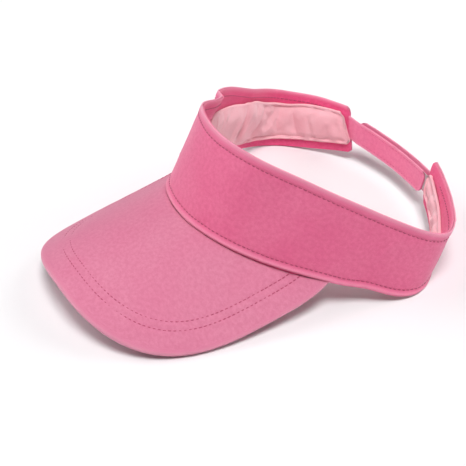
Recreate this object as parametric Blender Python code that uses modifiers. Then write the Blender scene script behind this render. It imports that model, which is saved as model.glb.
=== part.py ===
"""Cotton sun visor: arched brim, three-section band with a sweatband, two-strap closure at the back.

Metres, +Z up, brim towards -Y. The visor lies on its brim corners and on the back of its band.
"""
import math

import bpy
import numpy as np

MM = 0.001

# How the band lies: its axis leans back, and its rear stands a little more upright.
BAND_TILT = 27.8
REAR_LEAN = 7.4
REAR_LEAN_START = 112.0
REAR_LEAN_SPREAD = 36.0
BAND_MID_HEIGHT = 42.0 * MM
BAND_LIFT = 7.914 * MM
BAND_AHEAD = 20.638 * MM

# The ring seen along its axis: angle from the front (degrees), distance from the centre.
RING_RADIUS = (
    (0, 70.5 * MM), (25, 70.8 * MM), (50, 67.6 * MM), (75, 72.8 * MM), (95, 80.8 * MM),
    (115, 99.0 * MM), (135, 91.8 * MM), (150, 87.5 * MM), (165, 85.6 * MM), (180, 85.0 * MM),
)
# The middle of the forehead is a flat facet out to this angle, and the hems stand back from it.
FACET_ANGLE = 10.0
HEM_SET_BACK = 0.3 * MM
# Height of the lower and the upper edge of the band along its axis.
BAND_BOTTOM = (
    (0, 0.0), (25, 1.5 * MM), (50, 2.5 * MM), (75, 6.2 * MM), (88, 7.2 * MM), (98, 9.4 * MM),
    (107, 10.4 * MM), (115, 14.0 * MM), (130, 25.0 * MM), (150, 39.2 * MM), (165, 46.0 * MM),
    (180, 48.0 * MM),
)
BAND_TOP = (
    (0, 55.0 * MM), (25, 56.7 * MM), (50, 57.2 * MM), (75, 56.7 * MM), (100, 54.2 * MM),
    (115, 54.8 * MM), (130, 61.7 * MM), (150, 67.6 * MM), (165, 71.2 * MM), (180, 72.5 * MM),
)

# Where the band is divided and where its two tabs end (degrees from the front).
FLEX_ANGLE = 72.0
FLEX_GAP = 0.6
LEFT_TAB_END = (161.5, 164.0)
RIGHT_TAB_END = (150.0, 141.5)
TAB_CORNER = 1.6
TAB_CORNER_SHARE = 0.16
NORMAL_STEP = 0.2
PAD_END_INSET = 1.4
FRONT_COLUMNS = 26
LEFT_COLUMNS = 25
RIGHT_COLUMNS = 22
CLOTH_ROWS = (0.0, 0.13, 0.38, 0.63, 0.88, 1.0)
PAD_ROWS = (0.0, 0.1, 0.5, 0.9, 1.0)

# Layers of the band, counted outwards from the back of the shell cloth: middle, thickness.
SHELL_LAYER = (0.45 * MM, 0.9 * MM)
FACING_LAYER = (-0.7 * MM, 0.8 * MM)
SWEATBAND_LAYER = (-2.8 * MM, 2.2 * MM)
SWEATBAND_TOP_MARGIN = (
    (0, 21.0 * MM), (50, 20.0 * MM), (75, 14.0 * MM), (92, 9.5 * MM), (115, 8.3 * MM),
    (130, 6.2 * MM), (142, 4.0 * MM), (165, 4.0 * MM),
)
SWEATBAND_BOTTOM_MARGIN = 6.5 * MM
SWEATBAND_BOTTOM_FADE = (60.0, 50.0)
LINING_DROP = 3.4 * MM
LINING_DROP_END = 70.0
LINING_DROP_FADE = 8.0

# Closure straps: arcs round the midpoint of the two flex lines.
STRAP_BOTTOM = 47.6 * MM
STRAP_RISE = 0.01 * MM
STRAP_WIDTH = 13.0 * MM
OUTER_STRAP_RAISE = 0.8 * MM
STRAP_ROWS = (0.0, 0.08, 0.3, 0.7, 0.92, 1.0)
STRAP_COLUMNS = 17
TAPE_COLUMNS = 15
ROOT_COLUMNS = 4
STRAP_CORNER = 2.0
TAPE_CORNER = 1.5
STRAP_CORNER_SHARE = 0.3
INNER_STRAP_LAYER = (-2.5 * MM, 1.0 * MM)
LOOP_TAPE_LAYER = (-1.3 * MM, 0.8 * MM)
HOOK_TAPE_LAYER = (0.55 * MM, 0.7 * MM)
OUTER_STRAP_LAYER = (1.65 * MM, 0.9 * MM)
INNER_STRAP_TIP = 12.5
OUTER_STRAP_TIP = -25.4
OUTER_ROOT_LENGTH = 7.0
BOX_STITCH_INSETS = (1.2, 1.0)
STRAP_GAP = 0.25
LOOP_TAPE_START = 4.0
HOOK_TAPE_START = 1.0
TAPE_END = 1.5
TAPE_MARGIN = 1.5 * MM

# Brim: a board between two covers, arched across and sloping down to the front.
BRIM_SLOPE = 11.05
BRIM_ARCH = 5.62
BRIM_LENGTH = 84.3 * MM
BRIM_HALF_WIDTH = 77.9 * MM
BRIM_WIDEST_BACK = 21.6 * MM
BRIM_SIDE_LENGTH = 82.0 * MM
BRIM_SIDE_POWER = 2.69
BRIM_FRONT_POWER = 3.51
BRIM_BACK_POWER = 2.2
BRIM_END_ANGLE = 108.5
SEAM_END = 81.5
SEAM_GAP = 0.35 * MM
SEAM_OFFSET = 0.25 * MM
COVER_THICKNESS = 0.8 * MM
BOARD_THICKNESS = 1.6 * MM
LAYER_GAP = 0.3 * MM
EDGE_ROLL = 0.9 * MM
REAR_TRIM = 0.8
LEAST_MARGIN = 0.42
BOARD_INSET = 4.0 * MM
BOARD_REAR_INSET = 0.8 * MM
BRIM_COLUMNS = 43
BRIM_ROWS = (0.0, 0.12, 0.3, 0.5, 0.7, 0.86, 0.955, 0.985, 1.0)
BRIM_ROLL = (0.0, 0.0, 0.0, 0.0, 0.0, 0.0, 0.12, 0.5, 1.0)
BOARD_SKIP = 3
OUTLINE_SAMPLES = 721
# Stitch rows of the brim: insets at the sides and at the front, and a fuller outline.
STITCH_OUTER_INSETS = (10.5 * MM, 14.1 * MM)
STITCH_INNER_INSETS = (14.3 * MM, 18.9 * MM)
STITCH_SIDE_POWER = 2.55
STITCH_FRONT_POWER = 3.9
STITCH_COLUMNS = 81
STITCH_HALVINGS = 24
LEAST_STITCH_SHARE = 0.06
SLOPE_STEP = 0.5 * MM

THREAD_RADIUS = 0.3 * MM
THREAD_CLEARANCE = 0.3 * MM
TOPSTITCH_INSET = 5.0 * MM
BOTTOMSTITCH_INSET = 4.0 * MM
STITCH_END = 151.5

MATERIALS = {
    "twill": ((0.80, 0.20, 0.36, 1.0), 0.85),
    "facing_cloth": ((0.62, 0.08, 0.20, 1.0), 0.85),
    "terry": ((0.88, 0.44, 0.50, 1.0), 0.95),
    "board": ((0.85, 0.85, 0.83, 1.0), 0.6),
    "thread": ((0.82, 0.26, 0.42, 1.0), 0.7),
    "loop_pile": ((0.78, 0.22, 0.36, 1.0), 1.0),
    "hook_nylon": ((0.90, 0.88, 0.88, 1.0), 0.5),
}


def smooth(table, angle):
    """Smooth curve through a table of (angle, value), level at both ends."""
    angles = [row[0] for row in table]
    values = [row[1] for row in table]
    slopes = [0.0] * len(table)
    for index in range(1, len(table) - 1):
        rise = values[index + 1] - values[index - 1]
        slopes[index] = rise / (angles[index + 1] - angles[index - 1])
    angle = min(max(angle, angles[0]), angles[-1])
    index = 0
    while index < len(table) - 2 and angle > angles[index + 1]:
        index += 1
    span = angles[index + 1] - angles[index]
    t = (angle - angles[index]) / span
    return (
        (2 * t ** 3 - 3 * t ** 2 + 1) * values[index]
        + (t ** 3 - 2 * t ** 2 + t) * span * slopes[index]
        + (3 * t ** 2 - 2 * t ** 3) * values[index + 1]
        + (t ** 3 - t ** 2) * span * slopes[index + 1]
    )


def ease(value):
    """Smooth step from 0 to 1."""
    value = min(max(value, 0.0), 1.0)
    return value * value * (3 - 2 * value)


def tilt(point):
    """From the band's own frame to the world."""
    angle = math.radians(BAND_TILT)
    x, y, z = point
    return np.array([
        x,
        y * math.cos(angle) + z * math.sin(angle) + BAND_AHEAD,
        -y * math.sin(angle) + z * math.cos(angle) + BAND_LIFT,
    ])


def ring_point(angle):
    """Point of the ring in the band's own frame, angle in degrees from the front to the left."""
    turn = math.radians(angle)
    if abs(angle) < FACET_ANGLE:
        depth = smooth(RING_RADIUS, FACET_ANGLE) * math.cos(math.radians(FACET_ANGLE))
        return np.array([depth * math.tan(turn), -depth, 0.0])
    radius = smooth(RING_RADIUS, abs(angle))
    return np.array([radius * math.sin(turn), -radius * math.cos(turn), 0.0])


def ring_normal(angle):
    """Outward direction of the ring."""
    step = ring_point(angle + NORMAL_STEP) - ring_point(angle - NORMAL_STEP)
    normal = np.array([step[1], -step[0], 0.0])
    return normal / np.linalg.norm(normal)


def rise_on_wall(base, normal, lean, height, offset):
    """Point of a wall standing on the ring, leaning inwards by lean degrees, in the world."""
    turn = math.radians(lean)
    axis = np.array([0.0, 0.0, 1.0])
    up = axis * math.cos(turn) - normal * math.sin(turn)
    out = normal * math.cos(turn) + axis * math.sin(turn)
    point = base + axis * BAND_MID_HEIGHT + up * (height - BAND_MID_HEIGHT) + out * offset
    return tilt(point)


def band_point(angle, height, offset=0.0):
    """Point of the band at an angle, a height along it and an offset outwards."""
    lean = REAR_LEAN * ease((abs(angle) - REAR_LEAN_START) / REAR_LEAN_SPREAD)
    return rise_on_wall(ring_point(angle), ring_normal(angle), lean, height, offset)


def band_bottom(angle):
    """Height of the band's lower edge."""
    return smooth(BAND_BOTTOM, abs(angle))


def band_top(angle):
    """Height of the band's upper edge."""
    return smooth(BAND_TOP, abs(angle))


def flex_base(side):
    """Foot of a flex line in the band's own frame, side +1 left and -1 right."""
    angle = side * FLEX_ANGLE
    return ring_point(angle) + ring_normal(angle) * (SHELL_LAYER[1] + 2 * THREAD_RADIUS)


def strap_centre():
    """Middle of the two flex lines, the centre of the strap arcs."""
    return np.array([0.0, flex_base(1)[1], 0.0])


def strap_radius():
    """Radius of the strap arcs."""
    return ring_point(180)[1] - strap_centre()[1]


def strap_point(turn, height, offset):
    """Point of a strap, turn in degrees from the middle of the back towards the left."""
    angle = math.radians(turn)
    normal = np.array([math.sin(angle), math.cos(angle), 0.0])
    base = strap_centre() + normal * strap_radius()
    return rise_on_wall(base, normal, REAR_LEAN, height, offset)


def turn_of_ring(angle):
    """Strap turn that faces a ring angle."""
    x, y, _ = ring_point(angle) - strap_centre()
    return math.degrees(math.atan2(x, y))


def make_collections():
    """Empty the scene and make one collection for the visor and one for cutters."""
    for item in list(bpy.data.objects):
        bpy.data.objects.remove(item, do_unlink=True)
    visor = bpy.data.collections.new("sun_visor")
    cutters = bpy.data.collections.new("cutters")
    for collection in (visor, cutters):
        bpy.context.scene.collection.children.link(collection)
    cutters.hide_render = True
    return visor


def make_material(name, look):
    """Principled material of one sub-part."""
    colour, roughness = MATERIALS[look]
    material = bpy.data.materials.new(name)
    material.use_nodes = True
    shader = material.node_tree.nodes["Principled BSDF"]
    shader.inputs["Base Color"].default_value = colour
    shader.inputs["Roughness"].default_value = roughness
    shader.inputs["Metallic"].default_value = 0.0
    material.diffuse_color = colour
    return material


def add_sheet(visor, name, look, grid, thickness):
    """Open grid of points given a thickness on both sides."""
    rows = len(grid)
    columns = len(grid[0])
    points = [tuple(point) for row in grid for point in row]
    faces = []
    for row in range(rows - 1):
        for column in range(columns - 1):
            corner = row * columns + column
            faces.append((corner, corner + 1, corner + columns + 1, corner + columns))
    mesh = bpy.data.meshes.new(name)
    mesh.from_pydata(points, [], faces)
    mesh.update()
    item = bpy.data.objects.new(name, mesh)
    item.data.materials.append(make_material(name, look))
    visor.objects.link(item)
    solidify = item.modifiers.new("thickness", "SOLIDIFY")
    solidify.thickness = thickness
    solidify.offset = 0.0
    solidify.use_even_offset = True
    return item


def add_thread(visor, name, points):
    """Round thread along a line of points."""
    curve = bpy.data.curves.new(name, "CURVE")
    curve.dimensions = "3D"
    curve.bevel_depth = THREAD_RADIUS
    curve.bevel_resolution = 0
    curve.use_fill_caps = True
    spline = curve.splines.new("POLY")
    spline.points.add(len(points) - 1)
    for knot, point in zip(spline.points, points):
        knot.co = (*point, 1.0)
    item = bpy.data.objects.new(name, curve)
    item.data.materials.append(make_material(name, "thread"))
    visor.objects.link(item)
    return item


def span(start, end, count):
    """Evenly spaced values from start to end."""
    return [start + (end - start) * index / (count - 1) for index in range(count)]


def corner_pull(fraction, share):
    """How far a rounded end is drawn back, 0 to 1; each corner takes a share of the width."""
    edge = min(fraction, 1.0 - fraction) / share
    if edge >= 1.0:
        return 0.0
    return 1.0 - math.sqrt(1.0 - (1.0 - edge) ** 2)


def section_angles(start, end, count):
    """Angles from start to end; the flat facet is one wide step."""
    angles = span(start, end, count)
    if start < 0 < end:
        half = count // 2
        angles = span(start, -FACET_ANGLE, half) + span(FACET_ANGLE, end, half)
    return angles


def band_grid(start, ends, bottom, top, offset, columns, rows, corner=0.0, set_back=0.0):
    """Grid on the band from an angle to an end with its own angle at the bottom and the top."""
    grid = []
    for fraction in rows:
        depth = offset - (set_back if fraction in (0.0, 1.0) else 0.0)
        pull = corner_pull(fraction, TAB_CORNER_SHARE) * corner
        end = ends[0] + (ends[1] - ends[0]) * fraction
        last = end - math.copysign(pull, end)
        row = []
        for angle in section_angles(start, last, columns):
            low = bottom(angle)
            high = top(angle)
            row.append(band_point(angle, low + (high - low) * fraction, depth))
        grid.append(row)
    return grid


def lining_bottom(angle):
    """Lower edge of the facing, which covers the brim's rear edge at the front."""
    drop = LINING_DROP * ease((LINING_DROP_END - abs(angle)) / LINING_DROP_FADE)
    return band_bottom(angle) - drop


def sweatband_bottom(angle):
    """Lower edge of the sweatband."""
    start, length = SWEATBAND_BOTTOM_FADE
    fade = ease((abs(angle) - start) / length)
    return lining_bottom(angle) + SWEATBAND_BOTTOM_MARGIN * fade


def sweatband_top(angle):
    """Upper edge of the sweatband, closer to the band's edge at the tabs."""
    return band_top(angle) - smooth(SWEATBAND_TOP_MARGIN, abs(angle))


def thread_on_band(height, start, end, count):
    """Line of thread just clear of the shell's face."""
    offset = SHELL_LAYER[1] + THREAD_CLEARANCE + THREAD_RADIUS
    return [band_point(angle, height(angle), offset)
            for angle in section_angles(start, end, count)]


def build_band(visor):
    """Shell, facing, sweatband and topstitching of the front, the left and the right section."""
    front_end = FLEX_ANGLE - FLEX_GAP / 2
    side_start = FLEX_ANGLE + FLEX_GAP / 2
    right_ends = [-angle for angle in RIGHT_TAB_END]
    sections = (
        ("front", -front_end, [front_end, front_end], FRONT_COLUMNS, 0.0),
        ("left", side_start, LEFT_TAB_END, LEFT_COLUMNS, TAB_CORNER),
        ("right", -side_start, right_ends, RIGHT_COLUMNS, TAB_CORNER),
    )
    for name, start, ends, columns, corner in sections:
        side = math.copysign(1.0, ends[0])
        inset = PAD_END_INSET if corner else 0.0
        inner_ends = [end - side * inset for end in ends]
        shell = band_grid(start, ends, band_bottom, band_top, SHELL_LAYER[0],
                          columns, CLOTH_ROWS, corner, HEM_SET_BACK)
        add_sheet(visor, name + "_shell", "twill", shell, SHELL_LAYER[1])
        facing = band_grid(start, ends, lining_bottom, band_top, FACING_LAYER[0],
                           columns, CLOTH_ROWS, corner, HEM_SET_BACK)
        add_sheet(visor, name + "_facing", "facing_cloth", facing, FACING_LAYER[1])
        pad = band_grid(start, inner_ends, sweatband_bottom, sweatband_top, SWEATBAND_LAYER[0],
                        columns, PAD_ROWS, corner)
        add_sheet(visor, name + "_sweatband", "terry", pad, SWEATBAND_LAYER[1])
        stitch_ends = [side * min(abs(end), STITCH_END) for end in inner_ends]
        top_line = thread_on_band(lambda angle: band_top(angle) - TOPSTITCH_INSET,
                                  start, stitch_ends[1], columns)
        add_thread(visor, name + "_top_stitching", top_line)
        low_line = thread_on_band(lambda angle: band_bottom(angle) + BOTTOMSTITCH_INSET,
                                  start, stitch_ends[0], columns)
        add_thread(visor, name + "_bottom_stitching", low_line)


def strap_bottom(turn):
    """Height of the inner strap's lower edge."""
    return STRAP_BOTTOM + STRAP_RISE * turn


def strap_grid(starts, tip, low, high, offset, columns, corner):
    """Grid on a strap arc from a slanted start to a rounded tip, between two edge distances."""
    grid = []
    for fraction in STRAP_ROWS:
        start = starts[0] + (starts[1] - starts[0]) * fraction
        pull = corner_pull(fraction, STRAP_CORNER_SHARE) * corner
        last = tip - math.copysign(pull, tip - start)
        rise = low + (high - low) * fraction
        row = [strap_point(turn, strap_bottom(turn) + rise, offset)
               for turn in span(start, last, columns)]
        grid.append(row)
    return grid


def tab_end_turns(ends, side, low, high):
    """Turns at which a tab ends beside the lower and the upper edge of a strap."""
    turns = []
    for rise in (low, high):
        middle = side * sum(ends) / 2
        height = strap_bottom(turn_of_ring(middle)) + rise
        share = (height - band_bottom(middle)) / (band_top(middle) - band_bottom(middle))
        turns.append(turn_of_ring(side * (ends[0] + (ends[1] - ends[0]) * share)))
    return turns


def build_closure(visor):
    """Two straps with the loop tape and the hook tape between them."""
    low = OUTER_STRAP_RAISE
    high = OUTER_STRAP_RAISE + STRAP_WIDTH
    left_ends = tab_end_turns(LEFT_TAB_END, 1, low, high)
    right_ends = tab_end_turns(RIGHT_TAB_END, -1, 0.0, STRAP_WIDTH)
    starts = [turn + STRAP_GAP for turn in right_ends]
    grid = strap_grid(starts, INNER_STRAP_TIP, 0.0, STRAP_WIDTH, INNER_STRAP_LAYER[0],
                      STRAP_COLUMNS, STRAP_CORNER)
    add_sheet(visor, "inner_strap", "twill", grid, INNER_STRAP_LAYER[1])
    starts = [turn + LOOP_TAPE_START for turn in right_ends]
    grid = strap_grid(starts, INNER_STRAP_TIP - TAPE_END, TAPE_MARGIN, STRAP_WIDTH - TAPE_MARGIN,
                      LOOP_TAPE_LAYER[0], TAPE_COLUMNS, TAPE_CORNER)
    add_sheet(visor, "loop_tape", "loop_pile", grid, LOOP_TAPE_LAYER[1])
    starts = [turn + STRAP_GAP for turn in left_ends]
    grid = strap_grid(starts, left_ends[0] + OUTER_ROOT_LENGTH, low, high,
                      OUTER_STRAP_LAYER[0], ROOT_COLUMNS, 0.0)
    add_sheet(visor, "outer_strap_root", "twill", grid, OUTER_STRAP_LAYER[1])
    grid = strap_grid(left_ends, OUTER_STRAP_TIP, low, high, OUTER_STRAP_LAYER[0],
                      STRAP_COLUMNS, STRAP_CORNER)
    add_sheet(visor, "outer_strap", "twill", grid, OUTER_STRAP_LAYER[1])
    starts = [turn - HOOK_TAPE_START for turn in left_ends]
    grid = strap_grid(starts, OUTER_STRAP_TIP + TAPE_END, low + TAPE_MARGIN, high - TAPE_MARGIN,
                      HOOK_TAPE_LAYER[0], TAPE_COLUMNS, TAPE_CORNER)
    add_sheet(visor, "hook_tape", "hook_nylon", grid, HOOK_TAPE_LAYER[1])
    build_box_stitch(visor, left_ends[0], low)


def build_box_stitch(visor, left_end, strap_low):
    """Open box of thread that fastens the outer strap's root to the left tab."""
    offset = OUTER_STRAP_LAYER[0] + OUTER_STRAP_LAYER[1] / 2 + THREAD_CLEARANCE + THREAD_RADIUS
    near = left_end + BOX_STITCH_INSETS[0]
    far = left_end + OUTER_ROOT_LENGTH - BOX_STITCH_INSETS[1]
    low = strap_low + TAPE_MARGIN
    high = strap_low + STRAP_WIDTH - TAPE_MARGIN
    corners = ((near, low), (far, low), (far, high), (near, high), (near, low + 2 * TAPE_MARGIN))
    points = [strap_point(turn, strap_bottom(turn) + rise, offset) for turn, rise in corners]
    add_thread(visor, "root_box_stitching", points)


def brim_axes():
    """Origin, forward and upward direction of the brim."""
    slope = math.radians(BRIM_SLOPE)
    origin = band_point(0.0, band_bottom(0.0) - SEAM_GAP, SEAM_OFFSET)
    forward = np.array([0.0, -math.cos(slope), -math.sin(slope)])
    upward = np.array([0.0, -math.sin(slope), math.cos(slope)])
    return origin, forward, upward


def to_brim(point):
    """Across, ahead and lift of a point seen from the brim."""
    origin, forward, upward = brim_axes()
    away = point - origin
    return away[0], float(away @ forward), float(away @ upward) + BRIM_ARCH * away[0] ** 2


def brim_outline(turn):
    """Outer edge of the brim, turn in degrees from the front."""
    angle = math.radians(turn)
    side = math.sin(angle)
    front = math.cos(angle)
    across = BRIM_HALF_WIDTH * math.copysign(abs(side) ** (2 / BRIM_SIDE_POWER), side)
    if front > 0:
        reach = BRIM_LENGTH + BRIM_WIDEST_BACK
        ahead = reach * front ** (2 / BRIM_FRONT_POWER) - BRIM_WIDEST_BACK
    else:
        ahead = -BRIM_SIDE_LENGTH * abs(front) ** (2 / BRIM_BACK_POWER) - BRIM_WIDEST_BACK
    return np.array([across, ahead])


def even_outline(count):
    """Outline points evenly spaced along the edge, from the right end to the left end."""
    turns = span(-BRIM_END_ANGLE, BRIM_END_ANGLE, OUTLINE_SAMPLES)
    dense = np.array([brim_outline(turn) for turn in turns])
    lengths = np.linalg.norm(np.diff(dense, axis=0), axis=1)
    travelled = np.concatenate(([0.0], np.cumsum(lengths)))
    stops = np.linspace(0.0, travelled[-1], count)
    across = np.interp(stops, travelled, dense[:, 0])
    ahead = np.interp(stops, travelled, dense[:, 1])
    return np.stack([across, ahead], axis=1)


def seam_line(count):
    """Across, ahead and lift of the seam between brim and band, from right to left."""
    line = []
    for angle in span(-SEAM_END, SEAM_END, count):
        line.append(to_brim(band_point(angle, band_bottom(angle) - SEAM_GAP, SEAM_OFFSET)))
    return np.array(line)


def brim_ribs(count):
    """Seam line and outline of the brim, and the length of each rib between them."""
    seam = seam_line(count)
    edge = even_outline(count)
    return seam, edge, np.linalg.norm(edge - seam[:, :2], axis=1)


def brim_face(seam, edge, fractions):
    """Points of the brim's face; every rib has its own row of fractions."""
    fractions = np.asarray(fractions)
    flat = seam[:, None, :2] + (edge - seam[:, :2])[:, None, :] * fractions[:, :, None]
    lift = seam[:, None, 2] * (1 - fractions) ** 2
    origin, forward, upward = brim_axes()
    across, ahead = flat[:, :, 0:1], flat[:, :, 1:2]
    rise = lift[:, :, None] - BRIM_ARCH * across ** 2
    return origin + across * np.array([1.0, 0.0, 0.0]) + ahead * forward + rise * upward


def face_normals(points):
    """Upward normals of a grid of points."""
    normals = np.cross(np.gradient(points, axis=0), np.gradient(points, axis=1))
    normals /= np.linalg.norm(normals, axis=2)[:, :, None]
    return normals * np.sign(normals[:, :, 2:3])


def brim_grid(depth, roll, edge_inset, rear_inset, skip):
    """Grid of a brim layer under the brim's face; its outer rows may roll towards the board."""
    seam, edge, length = brim_ribs(BRIM_COLUMNS)
    rows = np.array(BRIM_ROWS)
    first = np.minimum((rear_inset + depth * REAR_TRIM) / length, LEAST_MARGIN)
    last = 1 - np.minimum(edge_inset / length, LEAST_MARGIN)
    fractions = first[:, None] + (last - first)[:, None] * rows[None, :]
    points = brim_face(seam, edge, fractions)
    shift = depth + roll * np.array(BRIM_ROLL)
    grid = points - face_normals(points) * shift[None, :, None]
    return grid[skip:len(grid) - skip]


def beyond_row(point, insets):
    """Positive where a point (across, ahead) lies outside a stitch row's outline."""
    side_inset, front_inset = insets
    across = abs(point[0]) / (BRIM_HALF_WIDTH - side_inset)
    ahead = point[1] + BRIM_WIDEST_BACK
    if ahead > 0:
        reach = BRIM_LENGTH + BRIM_WIDEST_BACK - front_inset
        power = STITCH_FRONT_POWER
    else:
        reach = BRIM_SIDE_LENGTH
        power = BRIM_BACK_POWER
    return across ** STITCH_SIDE_POWER + abs(ahead / reach) ** power - 1


def row_share(start, end, insets):
    """Fraction of a rib at which a stitch row crosses it, 0 where it doesn't."""
    if beyond_row(start, insets) > 0:
        return 0.0
    low, high = 0.0, 1.0
    for _ in range(STITCH_HALVINGS):
        middle = (low + high) / 2
        if beyond_row(start + (end - start) * middle, insets) > 0:
            high = middle
        else:
            low = middle
    return low


def brim_thread(insets):
    """Stitch row just clear of the brim's face, its two ends close to the seam."""
    seam, edge, length = brim_ribs(STITCH_COLUMNS)
    shares = np.array([row_share(seam[rib, :2], edge[rib], insets) for rib in range(len(seam))])
    step = SLOPE_STEP / length
    fractions = np.stack([shares - step, shares, shares + step], axis=1)
    points = brim_face(seam, edge, fractions)
    points = points + face_normals(points) * (THREAD_RADIUS + THREAD_CLEARANCE)
    return points[shares > LEAST_STITCH_SHARE, 1]


def build_brim(visor):
    """Board, upper and under cover and the two stitch rows."""
    top_depth = COVER_THICKNESS / 2
    board_depth = COVER_THICKNESS + LAYER_GAP + BOARD_THICKNESS / 2
    under_depth = 2 * board_depth - top_depth
    grid = brim_grid(top_depth, EDGE_ROLL, 0.0, 0.0, 0)
    add_sheet(visor, "brim_top_cover", "twill", grid, COVER_THICKNESS)
    grid = brim_grid(board_depth, 0.0, BOARD_INSET, BOARD_REAR_INSET, BOARD_SKIP)
    add_sheet(visor, "brim_board", "board", grid, BOARD_THICKNESS)
    grid = brim_grid(under_depth, -EDGE_ROLL, 0.0, 0.0, 0)
    add_sheet(visor, "brim_under_cover", "twill", grid, COVER_THICKNESS)
    add_thread(visor, "brim_outer_stitching", brim_thread(STITCH_OUTER_INSETS))
    add_thread(visor, "brim_inner_stitching", brim_thread(STITCH_INNER_INSETS))


def build_visor():
    """Make every piece of the visor."""
    visor = make_collections()
    build_brim(visor)
    build_band(visor)
    build_closure(visor)


build_visor()
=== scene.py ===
"""Looks of the cotton sun visor: twill band, padded sweatband, stitched brim and two-strap closure.

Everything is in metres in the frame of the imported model: +Z up, brim towards -Y.
"""

import math

import bmesh
import bpy
import numpy as np
from mathutils import Matrix, Vector


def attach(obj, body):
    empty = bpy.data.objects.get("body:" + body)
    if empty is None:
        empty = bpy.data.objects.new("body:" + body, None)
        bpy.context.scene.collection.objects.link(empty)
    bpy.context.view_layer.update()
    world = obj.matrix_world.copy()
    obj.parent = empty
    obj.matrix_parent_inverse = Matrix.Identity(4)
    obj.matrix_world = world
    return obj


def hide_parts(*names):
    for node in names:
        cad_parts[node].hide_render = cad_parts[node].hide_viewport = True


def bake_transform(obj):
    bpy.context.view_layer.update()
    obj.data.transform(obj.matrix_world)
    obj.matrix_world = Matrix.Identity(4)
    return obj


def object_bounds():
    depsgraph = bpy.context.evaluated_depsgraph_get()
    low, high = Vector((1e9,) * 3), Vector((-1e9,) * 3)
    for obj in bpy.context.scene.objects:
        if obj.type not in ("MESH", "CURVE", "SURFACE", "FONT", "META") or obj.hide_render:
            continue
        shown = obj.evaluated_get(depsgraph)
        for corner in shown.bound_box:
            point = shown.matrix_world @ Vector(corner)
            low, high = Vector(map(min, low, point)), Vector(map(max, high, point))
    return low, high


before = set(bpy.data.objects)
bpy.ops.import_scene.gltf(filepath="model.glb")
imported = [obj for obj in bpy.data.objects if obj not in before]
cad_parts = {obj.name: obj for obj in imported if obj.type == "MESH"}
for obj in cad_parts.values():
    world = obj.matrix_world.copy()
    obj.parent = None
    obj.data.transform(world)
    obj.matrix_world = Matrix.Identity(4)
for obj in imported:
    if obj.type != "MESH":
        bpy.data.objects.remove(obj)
cad_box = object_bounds()

MM = 0.001

# The photograph's view: where the camera looks, from where, and how far it is rolled.
VIEW_TARGET = (3.51 * MM, -9.78 * MM, 16.33 * MM)
VIEW_AZIMUTH = 61.97
VIEW_ELEVATION = 37.48
VIEW_ROLL = -1.59
VIEW_DISTANCE = 854.9 * MM
VIEW_LENS = 109.58

# The band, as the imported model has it.
BAND_TILT = 27.8
REAR_LEAN = 7.4
REAR_LEAN_START = 112.0
REAR_LEAN_SPREAD = 36.0
BAND_MID_HEIGHT = 42.0 * MM
BAND_LIFT = 7.914 * MM
BAND_AHEAD = 20.638 * MM
RING_RADIUS = (
    (0, 70.5), (25, 70.8), (50, 67.6), (75, 72.8), (95, 80.8),
    (115, 99.0), (135, 91.8), (150, 87.5), (165, 85.6), (180, 85.0),
)
FACET_ANGLE = 10.0
BAND_BOTTOM = (
    (0, 0.0), (25, 1.5), (50, 2.5), (75, 6.2), (88, 7.2), (98, 9.4), (107, 10.4), (115, 14.0),
    (130, 25.0), (150, 39.2), (165, 46.0), (180, 48.0),
)
BAND_TOP = (
    (0, 55.0), (25, 56.7), (50, 57.2), (75, 56.7), (100, 54.2), (115, 54.8),
    (130, 61.7), (150, 67.6), (165, 71.2), (180, 72.5),
)
SWEATBAND_TOP_MARGIN = {
    1: ((0, 21.0), (50, 20.0), (75, 14.0), (92, 13.0), (115, 19.5), (130, 17.0), (142, 12.0), (165, 8.5)),
    -1: ((0, 21.0), (50, 20.0), (75, 14.0), (92, 9.5), (115, 8.3), (130, 6.2), (142, 4.0), (165, 4.0)),
}
SWEATBAND_BOTTOM_MARGIN = 6.5 * MM
TAB_END = {1: (161.5, 164.0), -1: (150.0, 141.5)}
FLEX_START = 68.0
FLEX_END = 92.0
FLEX_ANGLE = 72.0
FLEX_OUT = 1.5 * MM

# The closure straps.
STRAP_BOTTOM = 47.6 * MM
STRAP_RISE = 0.01 * MM
STRAP_WIDTH = 13.0 * MM
OUTER_STRAP_RAISE = 0.8 * MM
INNER_STRAP_TIP = 12.5
OUTER_STRAP_TIP = -25.4
OUTER_ROOT_LENGTH = 7.0

# The brim.
BRIM_SLOPE = 11.05
BRIM_ARCH = 5.62
BRIM_LENGTH = 84.3 * MM
BRIM_HALF_WIDTH = 77.9 * MM
BRIM_WIDEST_BACK = 21.6 * MM
BRIM_SIDE_LENGTH = 82.0 * MM
BRIM_SIDE_POWER = 2.69
BRIM_FRONT_POWER = 3.51
BRIM_BACK_POWER = 2.2
BRIM_END_ANGLE = 108.5
SEAM_END = 81.5
SEAM_GAP = 0.35 * MM
SEAM_OFFSET = 0.25 * MM
STITCH_OUTER_INSETS = (10.5 * MM, 14.1 * MM)
STITCH_INNER_INSETS = (14.3 * MM, 18.9 * MM)
STITCH_SIDE_POWER = 2.55
STITCH_FRONT_POWER = 3.9

THREAD_RADIUS = 0.27 * MM
STITCH_PITCH = 2.9 * MM
STITCH_LENGTH = 2.3 * MM
TOP_ROW = 5.0 * MM
BOTTOM_ROW = 4.0 * MM

# Layers of the band and the brim, and how finely they are drawn.
OUTER_FACE = 0.9 * MM
INNER_FACE = -1.1 * MM
SHELL_MIDDLE = 0.45 * MM
FACING_MIDDLE = -0.7 * MM
BAND_COLUMNS = 330
BRIM_COLUMNS = 380
COVER_HALF = 0.4 * MM
BRIM_CORE = 1.9 * MM

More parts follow.
